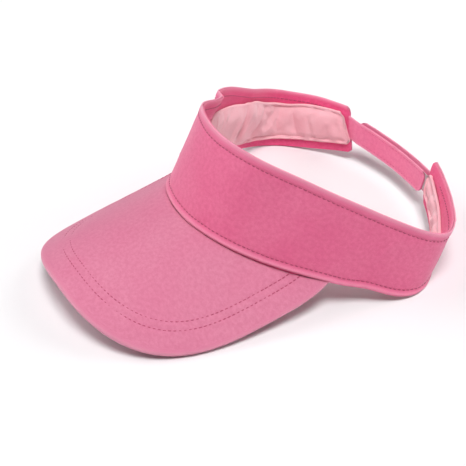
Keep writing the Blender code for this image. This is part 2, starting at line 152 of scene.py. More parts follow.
# Short soft creases of the worn cloth on each side: middle angle, height, length, slant, depth.
CREASES = {
    1: ((66, 27, 13, 24, 0.32), (78, 33, 9, -18, 0.26), (40, 16, 12, 35, 0.16), (97, 24, 12, 62, 0.3),
        (22, 38, 11, -30, 0.15), (108, 35, 9, 80, 0.35), (55, 44, 10, 8, 0.15), (125, 40, 8, 70, 0.25)),
    -1: ((30, 20, 12, -25, 0.18), (48, 30, 10, 70, 0.3), (66, 28, 9, 86, 0.35), (90, 30, 12, 40, 0.3),
         (112, 34, 10, 75, 0.3), (12, 40, 10, 20, 0.12), (128, 44, 8, -60, 0.2)),
}

# The sweatband's cloth simulation, and the angle of its upright fold.
SETTLE_SCALE = 10.0
SETTLE_FRAMES = 20
SETTLE_PUSH = -4.0
SWEATBAND_FOLD = 93.0

# Lamps: name, direction towards it, energy, and how wide it looks.
LAMPS = (
    ("key", (0.33, -0.08, 0.94), 2.55, 24.0),
    ("side", (-0.61, -0.56, 0.57), 1.32, 45.0),
    ("back", (0.25, 0.80, 0.55), 1.05, 40.0),
)

SIDE_NAME = {1: "left", -1: "right"}


# ---------------------------------------------------------------- shape of the visor

def through(table, angles, scale=MM):
    """Smooth curve through a table of (angle, value), level at both ends."""
    knots = np.array([row[0] for row in table], float)
    values = np.array([row[1] for row in table], float) * scale
    slopes = np.zeros(len(knots))
    slopes[1:-1] = (values[2:] - values[:-2]) / (knots[2:] - knots[:-2])
    angles = np.clip(np.asarray(angles, float), knots[0], knots[-1])
    low = np.clip(np.searchsorted(knots, angles) - 1, 0, len(knots) - 2)
    span = knots[low + 1] - knots[low]
    t = (angles - knots[low]) / span
    return (
        (2 * t ** 3 - 3 * t ** 2 + 1) * values[low]
        + (t ** 3 - 2 * t ** 2 + t) * span * slopes[low]
        + (3 * t ** 2 - 2 * t ** 3) * values[low + 1]
        + (t ** 3 - t ** 2) * span * slopes[low + 1]
    )


def ease(value):
    """Smooth step from 0 to 1."""
    value = np.clip(value, 0.0, 1.0)
    return value * value * (3 - 2 * value)


def bell(distance, width):
    """Smooth bump of height 1, about twice its width across."""
    return np.exp(-(distance / width) ** 2)


def ripple(along, across, seed, wave):
    """Gentle irregular waves between about -1 and 1, of one rough wavelength."""
    total = np.zeros(np.broadcast(along, across).shape)
    for turn in range(5):
        heading = seed * 1.7 + turn * 2.4
        length = wave * (0.7 + 0.17 * ((seed * 3 + turn * 5) % 7))
        phase = seed * 2.9 + turn * 1.3
        total = total + np.sin(
            2 * math.pi * (along * math.cos(heading) + across * math.sin(heading)) / length + phase)
    return total / 3.2


def ring_point(angles):
    """Points of the ring in the band's own frame."""
    turn = np.radians(angles)
    radius = through(RING_RADIUS, np.abs(angles))
    return np.stack([radius * np.sin(turn), -radius * np.cos(turn), 0 * radius], axis=-1)


def ring_normal(angles):
    """Outward directions of the ring."""
    step = ring_point(angles + 0.2) - ring_point(angles - 0.2)
    normal = np.stack([step[..., 1], -step[..., 0], 0 * step[..., 0]], axis=-1)
    return normal / np.linalg.norm(normal, axis=-1, keepdims=True)


def wall(base, normal, lean, height, offset):
    """Points of a wall standing on the ring and leaning inwards, in the model's frame."""
    turn = np.radians(lean)[..., None]
    axis = np.array([0.0, 0.0, 1.0])
    up = axis * np.cos(turn) - normal * np.sin(turn)
    out = normal * np.cos(turn) + axis * np.sin(turn)
    rise = (height - BAND_MID_HEIGHT)[..., None]
    point = base + axis * BAND_MID_HEIGHT + up * rise + out * offset[..., None]
    angle = math.radians(BAND_TILT)
    y, z = point[..., 1], point[..., 2]
    return np.stack([
        point[..., 0],
        y * math.cos(angle) + z * math.sin(angle) + BAND_AHEAD,
        -y * math.sin(angle) + z * math.cos(angle) + BAND_LIFT,
    ], axis=-1)


def band(angles, height, offset):
    """Points of the band at angles, heights along it and offsets outwards."""
    angles, height, offset = np.broadcast_arrays(
        np.asarray(angles, float), np.asarray(height, float), np.asarray(offset, float))
    lean = REAR_LEAN * ease((np.abs(angles) - REAR_LEAN_START) / REAR_LEAN_SPREAD)
    return wall(ring_point(angles), ring_normal(angles), lean, height, offset)


def band_bottom(angles):
    """Height of the band's lower edge."""
    return through(BAND_BOTTOM, np.abs(angles))


def band_top(angles):
    """Height of the band's upper edge."""
    return through(BAND_TOP, np.abs(angles))


ARC_ANGLES = np.linspace(0.0, 180.0, 1441)
ARC_LENGTHS = np.concatenate(
    ([0.0], np.cumsum(np.linalg.norm(np.diff(ring_point(ARC_ANGLES), axis=0), axis=1))))


def arc_of(angles):
    """Distance along the ring from the middle of the front."""
    return np.interp(np.abs(angles), ARC_ANGLES, ARC_LENGTHS)


def angle_of(arc):
    """Angle at a distance along the ring from the middle of the front."""
    return np.interp(arc, ARC_LENGTHS, ARC_ANGLES)


def strap_frame():
    """Centre and radius of the strap arcs, about the middle of the two flex lines."""
    foot = ring_point(np.array(FLEX_ANGLE)) + ring_normal(np.array(FLEX_ANGLE)) * FLEX_OUT
    return foot[1], ring_point(np.array(180.0))[1] - foot[1]


STRAP_CENTRE, STRAP_RADIUS = strap_frame()


def strap(turns, height, offset):
    """Points of a strap, turns in degrees from the middle of the back towards the left."""
    turns, height, offset = np.broadcast_arrays(
        np.asarray(turns, float), np.asarray(height, float), np.asarray(offset, float))
    angle = np.radians(turns)
    normal = np.stack([np.sin(angle), np.cos(angle), 0 * angle], axis=-1)
    base = np.array([0.0, STRAP_CENTRE, 0.0]) + normal * STRAP_RADIUS
    return wall(base, normal, np.full(turns.shape, REAR_LEAN), height, offset)


def strap_bottom(turns):
    """Height of the inner strap's lower edge."""
    return STRAP_BOTTOM + STRAP_RISE * np.asarray(turns, float)


def turn_of_ring(angle):
    """Strap turn that faces a ring angle."""
    point = ring_point(np.array(float(angle)))
    return math.degrees(math.atan2(point[0], point[1] - STRAP_CENTRE))


def tab_turns(side, low, high):
    """Turns at which a tab ends beside the lower and the upper edge of a strap."""
    ends = TAB_END[side]
    middle = side * sum(ends) / 2
    turns = []
    for rise in (low, high):
        height = float(strap_bottom(turn_of_ring(middle))) + rise
        share = (height - band_bottom(middle)) / (band_top(middle) - band_bottom(middle))
        turns.append(turn_of_ring(side * (ends[0] + (ends[1] - ends[0]) * float(share))))
    return turns


def brim_axes():
    """Origin, forward and upward direction of the brim."""
    slope = math.radians(BRIM_SLOPE)
    radius = through(((0, 70.5), (25, 70.8), (50, 67.6)), FACET_ANGLE)
    depth = float(radius) * math.cos(math.radians(FACET_ANGLE))
    origin = wall(np.array([0.0, -depth, 0.0]), np.array([0.0, -1.0, 0.0]), np.array(0.0),
                  np.array(-SEAM_GAP), np.array(SEAM_OFFSET))
    forward = np.array([0.0, -math.cos(slope), -math.sin(slope)])
    upward = np.array([0.0, -math.sin(slope), math.cos(slope)])
    return origin, forward, upward


BRIM_ORIGIN, BRIM_FORWARD, BRIM_UPWARD = brim_axes()


def brim_ribs(count):
    """Seam line (across, ahead, lift) and outline (across, ahead), from right to left."""
    angles = np.linspace(-SEAM_END, SEAM_END, count)
    away = band(angles, band_bottom(angles) - SEAM_GAP, SEAM_OFFSET) - BRIM_ORIGIN
    lift = away @ BRIM_UPWARD + BRIM_ARCH * away[:, 0] ** 2
    seam = np.stack([away[:, 0], away @ BRIM_FORWARD, lift], axis=1)
    turn = np.radians(np.linspace(-BRIM_END_ANGLE, BRIM_END_ANGLE, 1441))
    side, front = np.sin(turn), np.cos(turn)
    across = BRIM_HALF_WIDTH * np.sign(side) * np.abs(side) ** (2 / BRIM_SIDE_POWER)
    reach = BRIM_LENGTH + BRIM_WIDEST_BACK
    ahead = np.where(
        front > 0,
        reach * np.abs(front) ** (2 / BRIM_FRONT_POWER),
        -BRIM_SIDE_LENGTH * np.abs(front) ** (2 / BRIM_BACK_POWER)) - BRIM_WIDEST_BACK
    travelled = np.concatenate(
        ([0.0], np.cumsum(np.hypot(np.diff(across), np.diff(ahead)))))
    stops = np.linspace(0.0, travelled[-1], count)
    edge = np.stack([np.interp(stops, travelled, across),
                     np.interp(stops, travelled, ahead)], axis=1)
    return seam, edge


def brim_face(seam, edge, fractions):
    """Points of the brim's face and their places across and ahead."""
    flat = seam[:, None, :2] + (edge - seam[:, :2])[:, None, :] * fractions[:, :, None]
    lift = seam[:, None, 2] * (1 - fractions) ** 2
    across, ahead = flat[:, :, 0:1], flat[:, :, 1:2]
    rise = lift[:, :, None] - BRIM_ARCH * across ** 2
    points = (BRIM_ORIGIN + across * np.array([1.0, 0.0, 0.0]) + ahead * BRIM_FORWARD
              + rise * BRIM_UPWARD)
    return points, flat


def grid_normals(points):
    """Unit normals of a grid of points, upwards."""
    normals = np.cross(np.gradient(points, axis=0), np.gradient(points, axis=1))
    normals /= np.linalg.norm(normals, axis=2)[:, :, None]
    return normals * np.sign(normals[:, :, 2:3])


def row_level(flat, insets):
    """Signed distance-like value of places on the brim from a stitch row's outline."""
    across = np.abs(flat[..., 0]) / (BRIM_HALF_WIDTH - insets[0])
    ahead = flat[..., 1] + BRIM_WIDEST_BACK
    reach = BRIM_LENGTH + BRIM_WIDEST_BACK - insets[1]
    level = np.where(
        ahead > 0,
        across ** STITCH_SIDE_POWER + np.abs(ahead / reach) ** STITCH_FRONT_POWER,
        across ** STITCH_SIDE_POWER + np.abs(ahead / BRIM_SIDE_LENGTH) ** BRIM_BACK_POWER)
    return level - 1


# ---------------------------------------------------------------- materials

def node(tree, kind, **settings):
    """New node with its inputs by name and its own settings."""
    made = tree.nodes.new(kind)
    for key, value in settings.items():
        if key in made.inputs:
            made.inputs[key].default_value = value
        else:
            setattr(made, key, value)
    return made


def mix(tree, factor, low, high):
    """Colour mixed by a factor; low and high are colours or outputs."""
    made = node(tree, "ShaderNodeMix", data_type="RGBA")
    for socket, value in ((0, factor), (6, low), (7, high)):
        if isinstance(value, bpy.types.NodeSocket):
            tree.links.new(value, made.inputs[socket])
        else:
            made.inputs[socket].default_value = value
    return made.outputs[2]


def maths(tree, operation, first, second=0.0, third=None):
    """Output of a Math node."""
    made = node(tree, "ShaderNodeMath", operation=operation)
    for index, value in enumerate((first, second, third)):
        if isinstance(value, bpy.types.NodeSocket):
            tree.links.new(value, made.inputs[index])
        elif value is not None:
            made.inputs[index].default_value = value
    return made.outputs[0]


def stretch(tree, value, low, high):
    """A value clipped to a range and spread over 0 to 1."""
    made = node(tree, "ShaderNodeMapRange")
    tree.links.new(value, made.inputs["Value"])
    made.inputs["From Min"].default_value = low
    made.inputs["From Max"].default_value = high
    return made.outputs["Result"]


def start_material(name, roughness, sheen=0.0, tint=(1.0, 1.0, 1.0, 1.0), specular=0.25):
    """Empty material with its shader's constant values."""
    material = bpy.data.materials.new(name)
    material.use_nodes = True
    tree = material.node_tree
    shader = tree.nodes["Principled BSDF"]
    shader.inputs["Roughness"].default_value = roughness
    shader.inputs["Specular IOR Level"].default_value = specular
    shader.inputs["Sheen Weight"].default_value = sheen
    shader.inputs["Sheen Roughness"].default_value = 0.45
    shader.inputs["Sheen Tint"].default_value = tint
    return material, tree, shader


def noise(tree, place, scale, detail=3.0, roughness=0.55):
    """Noise texture output over places in metres."""
    made = node(tree, "ShaderNodeTexNoise", Scale=scale, Detail=detail, Roughness=roughness)
    tree.links.new(place, made.inputs["Vector"])
    return made.outputs["Fac"]


def twill(name, colour, deep, pale, pitch=0.62 * MM, depth=0.05 * MM, wear=0.5):
    """Woven twill: diagonal ribs, crossing yarns, uneven dye, and paler rubbed high spots."""
    material, tree, shader = start_material(name, 0.86, 0.35, (1.0, 0.78, 0.86, 1.0))
    weave = node(tree, "ShaderNodeAttribute", attribute_name="weave")
    place = node(tree, "ShaderNodeTexCoord").outputs["Object"]
    apart = node(tree, "ShaderNodeSeparateXYZ")
    tree.links.new(weave.outputs["Vector"], apart.inputs["Vector"])
    along, across = apart.outputs["X"], apart.outputs["Y"]
    wobble = maths(tree, "MULTIPLY", noise(tree, weave.outputs["Vector"], 900.0, 2.0), 0.35)
    turns = 2 * math.pi / pitch
    diagonal = maths(tree, "ADD", maths(tree, "MULTIPLY", along, turns),
                     maths(tree, "MULTIPLY", across, turns * 1.25))
    rib = maths(tree, "SINE", maths(tree, "ADD", diagonal, maths(tree, "MULTIPLY", wobble, 3.0)))
    yarn = maths(tree, "SINE", maths(tree, "MULTIPLY", along, turns * 2.0))
    rib = maths(tree, "MULTIPLY_ADD", rib, 0.5, 0.5)
    yarn = maths(tree, "MULTIPLY_ADD", yarn, 0.5, 0.5)
    thread = maths(tree, "ADD", maths(tree, "MULTIPLY", rib, 0.72), maths(tree, "MULTIPLY", yarn, 0.28))
    slub = stretch(tree, noise(tree, weave.outputs["Vector"], 1500.0, 3.0, 0.7), 0.3, 0.7)
    cloud = stretch(tree, noise(tree, place, 38.0, 4.0), 0.32, 0.68)
    fade = stretch(tree, noise(tree, place, 11.0, 2.0), 0.35, 0.75)
    ground = mix(tree, cloud, colour, mix(tree, 0.45, colour, pale))
    ground = mix(tree, maths(tree, "MULTIPLY", fade, wear * 0.5), ground, pale)
    mottle = stretch(tree, noise(tree, weave.outputs["Vector"], 420.0, 3.0, 0.6), 0.36, 0.64)
    ground = mix(tree, maths(tree, "MULTIPLY", mottle, 0.3), ground, deep)
    rub = maths(tree, "MULTIPLY", apart.outputs["Z"], 0.55)
    ground = mix(tree, rub, ground, (0.96, 0.56, 0.67, 1.0))
    groove = maths(tree, "MULTIPLY", maths(tree, "SUBTRACT", 1.0, thread), 0.42)
    ground = mix(tree, groove, ground, deep)
    ground = mix(tree, maths(tree, "MULTIPLY", slub, 0.16), ground, deep)
    tree.links.new(ground, shader.inputs["Base Color"])
    rough = node(tree, "ShaderNodeMapRange")
    tree.links.new(cloud, rough.inputs["Value"])
    rough.inputs["To Min"].default_value = 0.78
    rough.inputs["To Max"].default_value = 0.95
    tree.links.new(rough.outputs["Result"], shader.inputs["Roughness"])
    bump = node(tree, "ShaderNodeBump", Strength=0.7, Distance=depth)
    height = maths(tree, "ADD", thread, maths(tree, "MULTIPLY", slub, 0.6))
    tree.links.new(height, bump.inputs["Height"])
    tree.links.new(bump.outputs["Normal"], shader.inputs["Normal"])
    return material


def brushed(name, colour, deep, pale, pile=2600.0, depth=0.16 * MM, sheen=0.6):
    """Soft brushed or looped cotton: a short uneven nap over a mottled ground."""
    material, tree, shader = start_material(name, 0.95, sheen, (1.0, 0.88, 0.9, 1.0), 0.15)
    place = node(tree, "ShaderNodeTexCoord").outputs["Object"]
    nap = stretch(tree, noise(tree, place, pile, 3.0, 0.65), 0.3, 0.7)
    tuft = node(tree, "ShaderNodeTexVoronoi", Scale=pile * 0.42)
    tree.links.new(place, tuft.inputs["Vector"])
    cell = maths(tree, "SUBTRACT", 1.0, tuft.outputs["Distance"])
    cloud = stretch(tree, noise(tree, place, 55.0, 4.0), 0.3, 0.7)
    ground = mix(tree, cloud, colour, mix(tree, 0.5, colour, pale))
    hollow = maths(tree, "MULTIPLY", maths(tree, "SUBTRACT", 1.0, nap), 0.34)
    ground = mix(tree, hollow, ground, deep)
    tree.links.new(ground, shader.inputs["Base Color"])
    bump = node(tree, "ShaderNodeBump", Strength=0.8, Distance=depth)
    tree.links.new(maths(tree, "ADD", nap, cell), bump.inputs["Height"])
    tree.links.new(bump.outputs["Normal"], shader.inputs["Normal"])
    return material


def spun(name, colour, deep):
    """Sewing thread: two plies twisted together."""
    material, tree, shader = start_material(name, 0.6, 0.3, (1.0, 0.85, 0.9, 1.0), 0.35)
    place = node(tree, "ShaderNodeAttribute", attribute_name="weave").outputs["Vector"]
    ply = node(tree, "ShaderNodeTexWave", Scale=420.0, Distortion=1.5, bands_direction="DIAGONAL")
    tree.links.new(place, ply.inputs["Vector"])
    fuzz = noise(tree, place, 2400.0)
    twist = maths(tree, "MULTIPLY", ply.outputs["Fac"], 0.6)
    tree.links.new(mix(tree, maths(tree, "MULTIPLY_ADD", fuzz, 0.4, twist), deep, colour),
                   shader.inputs["Base Color"])
    bump = node(tree, "ShaderNodeBump", Strength=0.6, Distance=0.05 * MM)
    tree.links.new(ply.outputs["Fac"], bump.inputs["Height"])
    tree.links.new(bump.outputs["Normal"], shader.inputs["Normal"])
    return material


def nylon(name, colour, deep, roughness):
    """Moulded or extruded plastic with a faint streak and fine tooth marks."""
    material, tree, shader = start_material(name, roughness, 0.0, specular=0.5)
    place = node(tree, "ShaderNodeTexCoord").outputs["Object"]
    streak = stretch(tree, noise(tree, place, 160.0, 4.0), 0.3, 0.7)
    tree.links.new(mix(tree, streak, colour, deep), shader.inputs["Base Color"])
    bump = node(tree, "ShaderNodeBump", Strength=0.3, Distance=0.08 * MM)
    tree.links.new(noise(tree, place, 1300.0), bump.inputs["Height"])
    tree.links.new(bump.outputs["Normal"], shader.inputs["Normal"])
    return material


MATERIALS = {
    "cotton_twill": twill(
        "cotton_twill", (0.85, 0.166, 0.330, 1.0), (0.61, 0.070, 0.175, 1.0), (0.93, 0.29, 0.45, 1.0)),
    "brim_twill": twill(
        "brim_twill", (0.715, 0.215, 0.345, 1.0), (0.52, 0.105, 0.20, 1.0), (0.78, 0.335, 0.45, 1.0)),
    "strap_twill": twill(
        "strap_twill", (0.90, 0.21, 0.385, 1.0), (0.68, 0.10, 0.22, 1.0), (0.94, 0.34, 0.50, 1.0)),
    "facing_cloth": twill(
        "facing_cloth", (0.92, 0.105, 0.287, 1.0), (0.66, 0.04, 0.126, 1.0), (0.94, 0.19, 0.41, 1.0)),
    "sweatband_terry": brushed(
        "sweatband_terry", (0.95, 0.50, 0.56, 1.0), (0.82, 0.28, 0.35, 1.0), (0.97, 0.68, 0.71, 1.0)),
    "strap_thread": spun("strap_thread", (0.84, 0.18, 0.34, 1.0), (0.62, 0.09, 0.19, 1.0)),
    "sewing_thread": spun("sewing_thread", (0.58, 0.085, 0.20, 1.0), (0.34, 0.03, 0.085, 1.0)),
    "loop_tape": brushed(
        "loop_tape", (0.70, 0.16, 0.30, 1.0), (0.45, 0.06, 0.14, 1.0), (0.80, 0.28, 0.42, 1.0),
        pile=1500.0, depth=0.3 * MM),
    "hook_tape": nylon("hook_tape", (0.86, 0.84, 0.84, 1.0), (0.76, 0.72, 0.74, 1.0), 0.45),
    "brim_board": nylon("brim_board", (0.84, 0.84, 0.81, 1.0), (0.74, 0.74, 0.70, 1.0), 0.5),
}


# ---------------------------------------------------------------- mesh tools

def make_piece(name, points, faces, weave, look):
    """Closed mesh piece with its weave places, outward faces and material."""
    mesh = bpy.data.meshes.new(name)
    mesh.from_pydata([tuple(p) for p in points], [], faces)
    places = mesh.attributes.new("weave", "FLOAT_VECTOR", "POINT")
    places.data.foreach_set("vector", np.asarray(weave, np.float32).ravel())
    work = bmesh.new()
    work.from_mesh(mesh)
    bmesh.ops.recalc_face_normals(work, faces=work.faces)
    for face in work.faces:
        face.smooth = True
    for edge in work.edges:
        if len(edge.link_faces) == 2 and edge.calc_face_angle() > math.radians(50):
            edge.smooth = False
    work.to_mesh(mesh)
    work.free()
    piece = bpy.data.objects.new(name, mesh)
    bpy.context.scene.collection.objects.link(piece)
    mesh.materials.append(MATERIALS[look])
    return piece


def loop(rows, half, arcs=3, fold=1.0):
    """Closed outline of a cloth's section: (fraction, extra height, offset, face) per point.

    Face is +1 on the outer side, -1 on the inner side and 0 on the rounded edges.
    """
    outline = [(row, 0.0, half, 1) for row in rows]
    turns = [math.pi * (step + 1) / (arcs + 1) for step in range(arcs)]
    outline += [(1.0, half * fold * math.sin(t), half * math.cos(t), 0) for t in turns]
    outline += [(row, 0.0, -half, -1) for row in reversed(rows)]
    outline += [(0.0, -half * fold * math.sin(t), -half * math.cos(t), 0) for t in turns]
    return np.array(outline)


def tube_faces(loops, columns):
    """Faces of a closed loop swept along columns, with both ends capped."""
    faces = []
    for index in range(loops):
        after = (index + 1) % loops
        for column in range(columns - 1):
            faces.append((index * columns + column, index * columns + column + 1,
                          after * columns + column + 1, after * columns + column))
    faces.append([index * columns for index in range(loops)])
    faces.append([index * columns + columns - 1 for index in reversed(range(loops))])
    return faces


def corner_pull(fractions, share):
    """How far a rounded end is drawn back, 0 to 1, at fractions of its width."""
    edge = np.clip(np.minimum(fractions, 1.0 - fractions) / share, 0.0, 1.0)
    return 1.0 - np.sqrt(1.0 - (1.0 - edge) ** 2)


def band_columns(side, rows, columns, end_inset=0.0, corner=1.6, start=0.0):
    """Angles of a band piece, one row of columns for each fraction, out to its tab's end."""
    rows = np.asarray(rows)[:, None]
    low, high = TAB_END[side]
    last = low + (high - low) * rows - end_inset - corner_pull(rows, 0.16) * corner
    return start + (last - start) * (arc_of(last) > 0) * np.linspace(0.0, 1.0, columns)[None, :]


def mirrored(points, side):
    """Points of the left half, or their mirror image for the right half."""
    return points * np.array([side, 1.0, 1.0])


def bend_with_side(piece, side):
    """Bakes a band piece's placement into its mesh, without bending it."""
    start, end = mirrored(band(np.array([FLEX_START, FLEX_END]), 30 * MM, 0.0), side)
    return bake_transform(piece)


def settle(points, pinned, spare, push):
    """Cloth simulation of a sheet cut larger than its frame and sewn down at its pinned points.

    Returns how far each point of the grid of points has moved.
    """
    rows, columns = points.shape[:2]
    faces = [(row * columns + column, row * columns + column + 1,
              (row + 1) * columns + column + 1, (row + 1) * columns + column)
             for row in range(rows - 1) for column in range(columns - 1)]
    mesh = bpy.data.meshes.new("settling_sheet")
    mesh.from_pydata([tuple(point * SETTLE_SCALE) for point in points.reshape(-1, 3)], [], faces)
    sheet = bpy.data.objects.new("settling_sheet", mesh)
    bpy.context.scene.collection.objects.link(sheet)
    group = sheet.vertex_groups.new(name="pinned")
    group.add([int(index) for index in np.flatnonzero(pinned.ravel())], 1.0, "REPLACE")
    cloth = sheet.modifiers.new("cloth", "CLOTH")
    cloth.settings.quality = 6
    cloth.settings.mass = 0.2
    cloth.settings.tension_stiffness = 30.0
    cloth.settings.compression_stiffness = 30.0
    cloth.settings.shear_stiffness = 10.0
    cloth.settings.bending_stiffness = 0.4
    cloth.settings.air_damping = 4.0
    cloth.settings.vertex_group_mass = "pinned"
    cloth.settings.shrink_min = -spare
    cloth.settings.use_pressure = True
    cloth.settings.uniform_pressure_force = push
    cloth.settings.effector_weights.gravity = 0.0
    cloth.collision_settings.use_collision = False
    cloth.point_cache.frame_start = 1
    cloth.point_cache.frame_end = SETTLE_FRAMES
    scene = bpy.context.scene
    for frame_number in range(1, SETTLE_FRAMES + 1):
        scene.frame_set(frame_number)
    settled = sheet.evaluated_get(bpy.context.evaluated_depsgraph_get()).to_mesh()
    moved = np.array([vertex.co for vertex in settled.vertices]) / SETTLE_SCALE
    sheet.evaluated_get(bpy.context.evaluated_depsgraph_get()).to_mesh_clear()
    bpy.data.objects.remove(sheet)
    bpy.data.meshes.remove(mesh)
    scene.frame_set(1)
    return moved.reshape(points.shape) - points


def stitches(name, path, up, look="sewing_thread", pitch=STITCH_PITCH, sink=0.16 * MM):
    """Row of separate stitches along a dense path; up is the surface's direction there."""
    path = np.asarray(path)
    lengths = np.concatenate(([0.0], np.cumsum(np.linalg.norm(np.diff(path, axis=0), axis=1))))
    count = max(int(lengths[-1] / pitch), 1)
    points, faces, weave = [], [], []
    sides = 7
    profile = ((-0.5, 0.45, -1.9), (-0.44, 0.85, -0.6), (-0.25, 1.0, 0.35), (0.0, 1.05, 0.6),
               (0.25, 1.0, 0.35), (0.44, 0.85, -0.6), (0.5, 0.45, -1.9))
    for index in range(count):
        middle = (index + 0.5) * lengths[-1] / count
        first = len(points)
        for along, wide, rise in profile:
            place = middle + along * STITCH_LENGTH
            centre = np.array([np.interp(place, lengths, path[:, k]) for k in range(3)])
            normal = np.array([np.interp(place, lengths, up[:, k]) for k in range(3)])
            normal /= np.linalg.norm(normal)
            ahead = np.array([np.interp(place + 0.2 * MM, lengths, path[:, k]) for k in range(3)])
            behind = np.array([np.interp(place - 0.2 * MM, lengths, path[:, k]) for k in range(3)])
            sideways = np.cross(ahead - behind, normal)
            sideways /= np.linalg.norm(sideways)
            centre = centre + normal * (rise * THREAD_RADIUS - sink)
            for corner in range(sides):
                turn = 2 * math.pi * corner / sides
                points.append(centre + (sideways * math.cos(turn) + normal * math.sin(turn) * 0.85)
                              * THREAD_RADIUS * wide)
                weave.append((place, turn * THREAD_RADIUS, 0.0))
        rings = len(profile)
        for ring in range(rings - 1):
            for corner in range(sides):
                after = (corner + 1) % sides
                low = first + ring * sides
                faces.append((low + corner, low + after, low + sides + after, low + sides + corner))
        faces.append([first + corner for corner in reversed(range(sides))])
        faces.append([first + (rings - 1) * sides + corner for corner in range(sides)])
    return make_piece(name, points, faces, weave, look)


# ---------------------------------------------------------------- camera, floor and light

def make_camera():
    """Camera of the photograph."""
    azimuth, elevation = math.radians(VIEW_AZIMUTH), math.radians(VIEW_ELEVATION)
    roll = math.radians(VIEW_ROLL)
    back = Vector((math.sin(azimuth) * math.cos(elevation),
                   -math.cos(azimuth) * math.cos(elevation), math.sin(elevation)))
    right = Vector((math.cos(azimuth), math.sin(azimuth), 0.0))
    up = Vector((-math.sin(azimuth) * math.sin(elevation),
                 math.cos(azimuth) * math.sin(elevation), math.cos(elevation)))
    across = right * math.cos(roll) + up * math.sin(roll)
    upward = up * math.cos(roll) - right * math.sin(roll)
    data = bpy.data.cameras.new("camera")
    data.lens = VIEW_LENS
    data.sensor_width = 36.0
    data.clip_start = 0.01
    data.clip_end = 20.0
    camera = bpy.data.objects.new("camera", data)
    bpy.context.scene.collection.objects.link(camera)
    turned = Matrix((across, upward, back)).transposed().to_4x4()
    place = Vector(VIEW_TARGET) + back * VIEW_DISTANCE
    camera.matrix_world = Matrix.Translation(place) @ turned
    bpy.context.scene.camera = camera


def make_floor():
    """Plain pale floor."""
    mesh = bpy.data.meshes.new("floor")
    size = 4.0
    mesh.from_pydata([(-size, -size, 0), (size, -size, 0), (size, size, 0), (-size, size, 0)],
                     [], [(0, 1, 2, 3)])
    floor = bpy.data.objects.new("floor", mesh)
    bpy.context.scene.collection.objects.link(floor)
    floor.location.z = cad_box[0].z - 0.5 * MM
    material, _, shader = start_material("floor", 0.9, specular=0.1)
    shader.inputs["Base Color"].default_value = (0.85, 0.84, 0.85, 1.0)
    mesh.materials.append(material)


def make_backdrop():
    """Pale backdrop far behind the floor, which neither shades nor lights the visor."""
    mesh = bpy.data.meshes.new("backdrop")
    dome = bmesh.new()
    bmesh.ops.create_uvsphere(dome, u_segments=48, v_segments=24, radius=3.8)
    dome.to_mesh(mesh)
    dome.free()
    backdrop = bpy.data.objects.new("backdrop", mesh)
    bpy.context.scene.collection.objects.link(backdrop)
    backdrop.visible_shadow = False
    backdrop.visible_diffuse = False
    backdrop.visible_glossy = False
    backdrop.visible_transmission = False
    material, _, shader = start_material("backdrop", 0.9, specular=0.0)
    shader.inputs["Base Color"].default_value = (0.0, 0.0, 0.0, 1.0)
    shader.inputs["Emission Color"].default_value = (0.93, 0.92, 0.925, 1.0)
    shader.inputs["Emission Strength"].default_value = 1.0
    mesh.materials.append(material)


def make_light():
    """A lamp high on the camera's side, a broad one from the front, and a weak one from behind."""
    world = bpy.data.worlds.new("room")
    world.use_nodes = True
    world.node_tree.nodes["Background"].inputs["Color"].default_value = (1.0, 0.985, 0.99, 1.0)
    world.node_tree.nodes["Background"].inputs["Strength"].default_value = 0.06
    bpy.context.scene.world = world
    for name, towards, energy, spread in LAMPS:
        data = bpy.data.lights.new(name, "SUN")
        data.energy = energy
        data.angle = math.radians(spread)
        lamp = bpy.data.objects.new(name, data)
        bpy.context.scene.collection.objects.link(lamp)
        lamp.rotation_mode = "QUATERNION"
        lamp.rotation_quaternion = Vector(towards).to_track_quat("Z", "Y")
    bpy.context.scene.view_settings.view_transform = "Standard"


# ---------------------------------------------------------------- the band

def stitch_pucker(along, distance, depth, seed):
    """Dent and small puckers of the cloth beside a stitch row."""
    phase = 2 * math.pi * along / STITCH_PITCH
    dent = -depth * bell(distance, 0.75 * MM) * (0.8 + 0.2 * np.cos(phase))
    pucker = ripple(along, distance * 0.35, seed, 9 * MM) * bell(distance, 4.2 * MM)
    return dent + 0.11 * MM * pucker


def buckle(side, angles, height):
    """Sway of the whole wall: the right side leans in and then turns at one upright crease."""
    angles = np.abs(angles)
    low = band_bottom(angles)
    share = np.clip((height - low) / (band_top(angles) - low), 0.0, 1.1)
    if side > 0:
        return 0.8 * MM * share * bell(angles - 100.0, 14.0)
    return -5.2 * MM * share ** 1.6 * ease((angles - 26.0) / 22.0) * (1 - ease((angles - 53.0) / 8.0))


def creases(side, angles, low):
    """A few short soft creases of worn cloth: middle angle, height, length, slant, depth."""
    along = arc_of(angles)
    total = np.zeros(np.shape(angles * low))
    for where, height, length, slant, depth in CREASES[side]:
        ahead = along - float(arc_of(where))
        rise = low - height * MM
        turn = math.radians(slant)
        near = ahead * math.cos(turn) + rise * math.sin(turn)
        off = rise * math.cos(turn) - ahead * math.sin(turn)
        ridge = bell(off, 1.5 * MM) - 0.6 * bell(off - 2.6 * MM, 2.2 * MM)
        total = total + depth * MM * ridge * bell(near, length * MM)
    return total


def shell_relief(side, angles, low, high):
    """Relief of the band's outer face: stitch dents, a folded hem at each edge, soft waves."""
    along = arc_of(angles) * side
    relief = stitch_pucker(along, high - TOP_ROW, 0.30 * MM, 2)
    relief = relief + stitch_pucker(along, low - BOTTOM_ROW, 0.30 * MM, 5)
    relief = relief + 0.28 * MM * ease((TOP_ROW - high) / (1.6 * MM))
    relief = relief + 0.95 * MM * bell(low - 0.9 * MM, 1.05 * MM)
    relief = relief + creases(side, angles, low)
    soft = ripple(along, low, 7, 58 * MM) * 0.45 * MM + ripple(along, low, 3, 24 * MM) * 0.13 * MM
    return relief + soft * np.clip(np.minimum(low, high) / (12 * MM), 0.0, 1.0)


